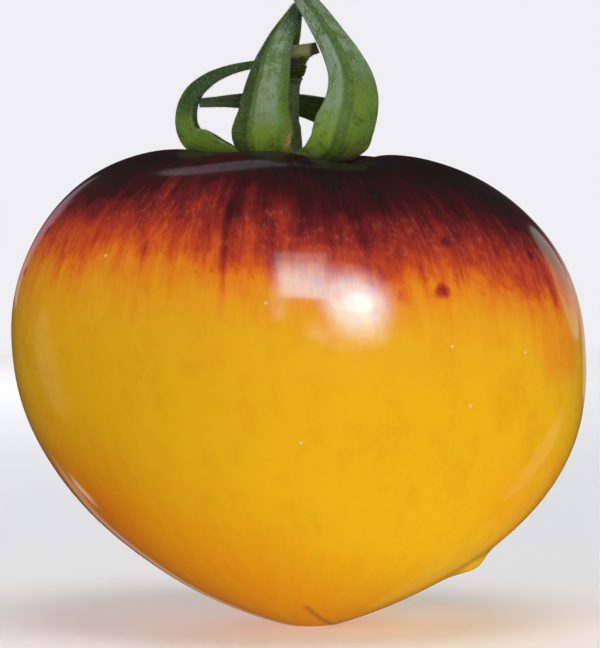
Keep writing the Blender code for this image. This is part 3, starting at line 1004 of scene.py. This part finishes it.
def make_pedicel_mesh():
    last = len(PEDICEL) - 1
    rows = last * STALK_STEPS
    bm = bmesh.new()
    side = Vector((1, 0, 0))
    rings, flats = [], {}
    for row in range(rows + 1):
        where = row / STALK_STEPS
        *centre, radius = through(PEDICEL, where)
        ahead = heading(PEDICEL, where)
        side = (side - ahead * side.dot(ahead)).normalized()
        other = ahead.cross(side)
        ring = []
        for k in range(STALK_SIDES):
            angle = 2 * math.pi * k / STALK_SIDES
            out = side * math.cos(angle) + other * math.sin(angle)
            ragged = RAGGED_END * noise.noise(out * 2.0) * smoothstep((where - last + 0.25) / 0.25)
            point = Vector(centre) + out * stalk_radius(where, angle, radius) + ahead * ragged
            vert = bm.verts.new(SEAT + point * MM)
            flats[vert] = (k / STALK_SIDES, where / last)
            ring.append(vert)
        rings.append(ring)
    for lower, upper in zip(rings, rings[1:]):
        for k in range(STALK_SIDES):
            after = (k + 1) % STALK_SIDES
            bm.faces.new((lower[k], lower[after], upper[after], upper[k]))
    bm.faces.new(list(reversed(rings[0])))
    hollow = bmesh.ops.extrude_discrete_faces(bm, faces=[bm.faces.new(rings[-1])])["faces"][0]
    middle = hollow.calc_center_median()
    for vert in hollow.verts:
        vert.co = middle + (vert.co - middle) * HOLLOW_WIDTH - ahead * HOLLOW_DEPTH
    return mesh_of(bm, "pedicel_stalk")


# %% The stalk's material
STALK_GREEN, KNUCKLE_BROWN, KNUCKLE_TOP_HIGHLIGHT = (0.180, 0.210, 0.085), (0.062, 0.060, 0.009), (0.56, 0.55, 0.24)
STALK_BLOTCH, RING_HIGHLIGHT_GREY = (0.026, 0.032, 0.010), (0.22, 0.24, 0.12)
DEAD_END, STALK_FLECK = (0.036, 0.040, 0.014), (0.17, 0.17, 0.08)


def stalk_green():
    green = Finish("stalk_green", {"IOR": 1.42, "Specular IOR Level": 0.05, "Sheen Weight": 0.05})
    place = green.place()
    height = (green.along(place)[2] - SEAT.z) / MM
    patches = green.noise(place, 1 / (0.9 * MM), 4, 0.65)
    grain = green.noise(place, 1 / (0.28 * MM), 3, 0.6)
    knuckle = green.between(height, 12.2, 13.4)
    # The top of the knuckle and stub is painted straw-yellow: a painted highlight.
    top = green.between(height + patches - 0.5, 16.0, 17.2)
    # A pale line round the ring below the knuckle: a painted highlight.
    ring = green.between(abs(height - 13.3 + 0.3 * (patches - 0.5)), 0.22, 0.05)
    end = green.between(green.along(place)[0] - SEAT.x, 2.5 * MM, 3.2 * MM)
    colour = green.mix(knuckle, STALK_GREEN, KNUCKLE_BROWN)
    for share, layer in (
        (0.55 * green.between(patches, 0.45, 0.7), STALK_BLOTCH),
        (0.9 * top, KNUCKLE_TOP_HIGHLIGHT),
        (0.7 * ring, RING_HIGHLIGHT_GREY),
        (0.9 * end, DEAD_END),
        (0.3 * green.between(grain, 0.58, 0.75), STALK_FLECK),
    ):
        colour = green.mix(share, colour, layer)
    green.feed("Base Color", colour)
    green.feed("Roughness", 0.6 + 0.2 * (patches - 0.5))
    green.bump(patches + 0.6 * grain, 0.12 * MM)
    return green.material


add_piece("pedicel_stalk", make_pedicel_mesh(), stalk_green(), "pedicel")

# %% [markdown]
# ## Hairs
# Tomato stems and sepals are downy. Hair curves would be quick to grow, but many programs drop them, so
# each hair is a real spike with three sides and a base, rooted a little inside the surface. The draws come
# from one seeded generator, so the coat is the same every time.

# %% Grow hairs
HAIR_SEED = 7
HAIR_RADIUS = 0.022 * MM
HAIR_LENGTHS = (0.14 * MM, 0.40 * MM)
MARGIN_LENGTHENING, STALK_LENGTHENING = 1.15, 1.2
ROOT_DEPTH = 0.05 * MM
HAIR_LEAN, HAIR_SPREAD = 0.35, 0.35  # how far a hair leans to the tip, and strays at random
SEPAL_HAIRS, MARGIN_HAIRS = 1300, 420
draw = random.Random(HAIR_SEED)


def spike(bm, root, direction, length):
    """A three-sided spike from just under the surface."""
    side = direction.cross(UP if abs(direction.z) < 0.9 else Vector((1, 0, 0))).normalized()
    other = direction.cross(side)
    base = []
    for k in range(3):
        angle = 2 * math.pi * k / 3
        out = side * math.cos(angle) + other * math.sin(angle)
        base.append(bm.verts.new(root - direction * ROOT_DEPTH + out * HAIR_RADIUS))
    tip = bm.verts.new(root + direction * length)
    bm.faces.new(reversed(base))
    for k in range(3):
        bm.faces.new((base[k], base[(k + 1) % 3], tip))


def jitter(amount):
    return Vector([draw.uniform(-amount, amount) for _ in "xyz"])


def sepal_hairs(name):
    """Roots on both skins of the blade, and a fringe along its margins."""
    bm = bmesh.new()
    rows = [sepal_row(name, row / ROWS) for row in range(ROWS + 1)]
    for n in range(SEPAL_HAIRS + MARGIN_HAIRS):
        row = draw.randrange(3, ROWS - 1)
        outer, inner, outwards = rows[row]
        ahead = (rows[row + 1][0][COLUMNS // 2] - outer[COLUMNS // 2]).normalized()
        if n < SEPAL_HAIRS:
            k = draw.randrange(1, COLUMNS)
            outside = draw.random() < 0.7
            root = outer[k] if outside else inner[k]
            direction = outwards[k] if outside else -outwards[k]
            length = draw.uniform(*HAIR_LENGTHS)
        else:
            k = draw.choice((0, COLUMNS))
            root = (outer[k] + inner[k]) / 2
            direction = (outer[k] - outer[1 if k == 0 else k - 1]).normalized()
            length = draw.uniform(*HAIR_LENGTHS) * MARGIN_LENGTHENING
        direction = (direction + HAIR_LEAN * ahead + jitter(HAIR_SPREAD)).normalized()
        shift = ahead * draw.uniform(-0.1, 0.1)
        spike(bm, SEAT + (root + shift) * MM, direction, length)
    return mesh_of(bm, name + "_hairs")


def hair_finish():
    hair = Finish("pale_hair", {"Specular IOR Level": 0.4, "Roughness": 0.45})
    shade = hair.noise(hair.place(), 1 / (0.8 * MM), 1)
    hair.feed("Base Color", hair.mix(hair.between(shade, 0.35, 0.65), (0.42, 0.50, 0.30), (0.70, 0.74, 0.56)))
    return hair.material


hair_material = hair_finish()
for sepal_name in SEPALS:
    add_piece(f"sepal_{sepal_name}_hairs", sepal_hairs(sepal_name), hair_material, "calyx")

# %% Hairs of the stalk
STALK_HAIRS = 900


def stalk_hairs():
    bm = bmesh.new()
    last = len(PEDICEL) - 1
    for _ in range(STALK_HAIRS):
        where = draw.uniform(0.6, last - 0.3)
        *centre, radius = through(PEDICEL, where)
        ahead = heading(PEDICEL, where)
        side = ahead.cross(jitter(1)).normalized()
        root = SEAT + (Vector(centre) + side * radius * 0.97) * MM
        direction = (side + 0.2 * ahead + jitter(0.3)).normalized()
        spike(bm, root, direction, draw.uniform(*HAIR_LENGTHS) * STALK_LENGTHENING)
    return mesh_of(bm, "pedicel_hairs")


add_piece("pedicel_hairs", stalk_hairs(), hair_material, "pedicel")

# %% [markdown]
# ## The studio
# A plain pale floor fades into a pale backdrop, so no horizon cuts through the picture. The floor's rim
# turns see-through with distance, which hides where it ends from every side.

# %% The floor
FLOOR_RADIUS = 1.6
FLOOR_FADE = (0.30, 1.0)  # where it starts to turn see-through, and where it has
PAPER_GRAIN = 0.025


def make_floor():
    bm = bmesh.new()
    bmesh.ops.create_circle(bm, cap_ends=True, segments=96, radius=FLOOR_RADIUS)
    mesh = mesh_of(bm, "floor")
    floor = bpy.data.objects.new("floor", mesh)
    bpy.context.scene.collection.objects.link(floor)
    paper = Finish("pale_floor", {"Roughness": 0.8, "Specular IOR Level": 0.0, "Emission Strength": 0.23})
    place = paper.place()
    tint = paper.noise(place, 1 / PAPER_GRAIN, 2)
    paper.feed("Base Color", paper.mix(tint, (0.78, 0.78, 0.79), (0.80, 0.80, 0.81)))
    paper.shader.inputs["Emission Color"].default_value = (0.98, 0.98, 1.0, 1)
    x, y, _ = paper.along(place)
    gone = paper.between((x * x + y * y) ** 0.5, *FLOOR_FADE)
    paper.feed("Alpha", 1 - gone)
    mesh.materials.append(paper.material)
    floor.visible_diffuse = False
    floor.visible_glossy = False
    floor.visible_shadow = False


make_floor()

# %% [markdown]
# ## The light
# The light on the fruit comes mostly from the front and a little from below, as if the table glowed, so the
# blunt end stays bright. What shines in the skin is set apart from it: a window in front with a gap of
# shade below it, a glow with a hot heart beside the window, and pale strips behind the fruit that draw the
# thin bright rims. Their colours lean to blue, because the orange skin under them already gives the red.

# %% The world
BACKDROP = (0.870, 0.865, 0.890, 1)  # what the camera sees
FILL = (0.200, 0.203, 0.21, 1)  # what lights matt surfaces
REFLECTED = (0.030, 0.030, 0.034, 1)  # what shines in glossy ones


def make_world():
    world = bpy.data.worlds.new("pale_studio")
    world.use_nodes = True
    tree = world.node_tree
    rays = tree.nodes.new("ShaderNodeLightPath")
    light = tree.nodes["Background"]
    light.inputs["Color"].default_value = FILL
    for ray, colour in (("Is Glossy Ray", REFLECTED), ("Is Camera Ray", BACKDROP)):
        other = tree.nodes.new("ShaderNodeBackground")
        other.inputs["Color"].default_value = colour
        either = tree.nodes.new("ShaderNodeMixShader")
        tree.links.new(rays.outputs[ray], either.inputs["Fac"])
        tree.links.new(light.outputs[0], either.inputs[1])
        tree.links.new(other.outputs[0], either.inputs[2])
        light = either
    tree.links.new(light.outputs[0], tree.nodes["World Output"].inputs["Surface"])
    bpy.context.scene.world = world


make_world()

# %% The lamps
MATT_LAMPS = {  # where from the fruit's middle in metres, size in metres, strength on a surface that faces it
    "above": ((0.08, -0.24, 0.76), (0.50, 0.50), 0.40),
    "left": ((-0.60, -0.40, 0.05), (0.40, 0.40), 0.34),
    "low_right": ((0.50, -0.40, -0.40), (0.40, 0.40), 0.66),
    "front": ((0.00, -0.70, 0.02), (0.40, 0.40), 0.20),
    "underneath": ((0.10, 0.20, -0.70), (0.50, 0.50), 0.25),
    "behind": ((-0.20, 0.72, 0.28), (0.50, 0.40), 0.30),
}
GLEAMS = {  # the same, with how bright the lamp's face looks, and its colour
    "window_1": ((0.051, -0.559, 0.473), (0.26, 0.35), 3.2, (0.24, 0.82, 0.95)),
    "window_2": ((0.032, -0.586, 0.443), (0.24, 0.27), 4.0, (0.24, 0.82, 0.95)),
    "window_3": ((0.032, -0.605, 0.416), (0.20, 0.21), 4.0, (0.22, 0.80, 0.95)),
    "window_4": ((0.056, -0.625, 0.383), (0.14, 0.14), 2.6, (0.22, 0.80, 0.95)),
    "window_left": ((-0.089, -0.647, 0.341), (0.08, 0.35), 2.4, (0.50, 0.85, 1.0)),
    "tail": ((0.226, -0.694, 0.101), (0.41, 0.09), 1.2, (0.50, 0.85, 1.0)),
    "tail_2": ((0.265, -0.680, 0.108), (0.44, 0.25), 1.0, (0.50, 0.85, 1.0)),
    "glow_1": ((0.309, -0.593, 0.306), (0.44, 0.62), 1.9, (0.25, 0.77, 1.0)),
    "glow_2": ((0.302, -0.597, 0.304), (0.39, 0.51), 3.6, (0.22, 0.76, 1.0)),
    "glow_3": ((0.299, -0.600, 0.302), (0.33, 0.40), 5, (0.20, 0.75, 1.0)),
    "glow_4": ((0.299, -0.599, 0.303), (0.27, 0.32), 6, (0.20, 0.74, 1.0)),
    "heart": ((0.307, -0.596, 0.302), (0.15, 0.15), 9, (1.0, 1.0, 1.0)),
    "right_rim": ((0.41, 0.55, 0.125), (0.34, 0.26), 0.62, (0.82, 1.0, 0.78)),
    "low_right_rim": ((0.15, 0.65, 0.01), (0.31, 0.14), 0.5, (1.0, 0.90, 0.75)),
    "left_rim": ((-0.27, 0.64, 0.12), (0.16, 0.22), 0.42, (1.0, 0.76, 0.88)),
    "sheen": ((-0.09, 0.45, 0.52), (0.26, 0.16), 0.90, (0.92, 0.84, 1.0)),
    "left_side": ((-0.65, 0.28, -0.10), (0.24, 0.38), 0.30, (1.0, 0.85, 0.7)),
    "right_side": ((0.53, 0.35, -0.29), (0.16, 0.34), 0.35, (1.0, 0.85, 0.7)),
    "low_left_rim": ((-0.34, 0.55, -0.30), (0.05, 0.06), 1.3, (1.0, 0.85, 0.75)),
    "low_rim": ((-0.15, 0.62, -0.22), (0.30, 0.08), 0.35, (1.0, 0.95, 0.75)),
    "below_right": ((0.34, 0.60, -0.42), (0.50, 0.34), 0.22, (1.0, 0.62, 0.12)),
}
ROUND_GLEAMS = (
    "glow_1", "glow_2", "glow_3", "glow_4", "heart", "tail", "tail_2",
    "right_rim", "sheen", "left_side", "right_side", "below_right",
)


def add_lamp(name, where, size, radiance, colour=(1, 1, 1)):
    """A flat lamp that faces the fruit's middle. Radiance is how bright its face looks."""
    lamp = bpy.data.lights.new(name, "AREA")
    lamp.shape = "ELLIPSE" if name in ROUND_GLEAMS else "RECTANGLE"
    lamp.size, lamp.size_y = size
    area = size[0] * size[1] * (math.pi / 4 if lamp.shape == "ELLIPSE" else 1)
    lamp.energy = radiance * area * math.pi
    lamp.color = colour
    obj = bpy.data.objects.new(name, lamp)
    away = Vector(where)
    obj.location = away + Vector((0, 0, EQUATOR_HEIGHT))
    obj.rotation_euler = away.to_track_quat("Z", "Y").to_euler()
    obj.visible_camera = False
    bpy.context.scene.collection.objects.link(obj)
    return obj


for lamp_name, (where, size, strength) in MATT_LAMPS.items():
    distance = Vector(where).length
    matt_lamp = add_lamp(lamp_name, where, size, strength * math.pi * distance**2 / (size[0] * size[1]))
    matt_lamp.visible_glossy = False
    # Without this, a lamp that reflections can't see would still leave a faint square in the glossy coat.
    matt_lamp.data.cycles.use_multiple_importance_sampling = False
for lamp_name, (where, size, radiance, tint) in GLEAMS.items():
    add_lamp(lamp_name, where, size, radiance, tint).visible_diffuse = False
print(len(MATT_LAMPS), "lamps for matt surfaces and", len(GLEAMS), "that only shine in glossy ones")

# %% [markdown]
# ## The camera
# A short lens close by would swell the front of the fruit. A long lens from half a metre, two degrees above
# the fruit's middle, sees it nearly flat on, so that its outline is true.

# %% The camera
CAMERA_DISTANCE = 0.5
CAMERA_RISE = math.radians(2)
PICTURE_HEIGHT = 648  # pixels
PIXEL_SIZE = 0.14 * MM  # what a pixel spans at the fruit
SENSOR = 36  # millimetres
AIM = Vector((-1.442 * MM, 0, 42.07 * MM))

camera_data = bpy.data.cameras.new("camera")
camera_data.sensor_width = SENSOR
camera_data.lens = SENSOR * CAMERA_DISTANCE / (PICTURE_HEIGHT * PIXEL_SIZE)
camera = bpy.data.objects.new("camera", camera_data)
camera.location = AIM + CAMERA_DISTANCE * Vector((0, -math.cos(CAMERA_RISE), math.sin(CAMERA_RISE)))
camera.rotation_euler = (math.pi / 2 - CAMERA_RISE, 0, 0)
bpy.context.scene.collection.objects.link(camera)
bpy.context.scene.camera = camera
bpy.context.scene.view_settings.view_transform = "Standard"
print("lens:", round(camera_data.lens, 1), "mm")
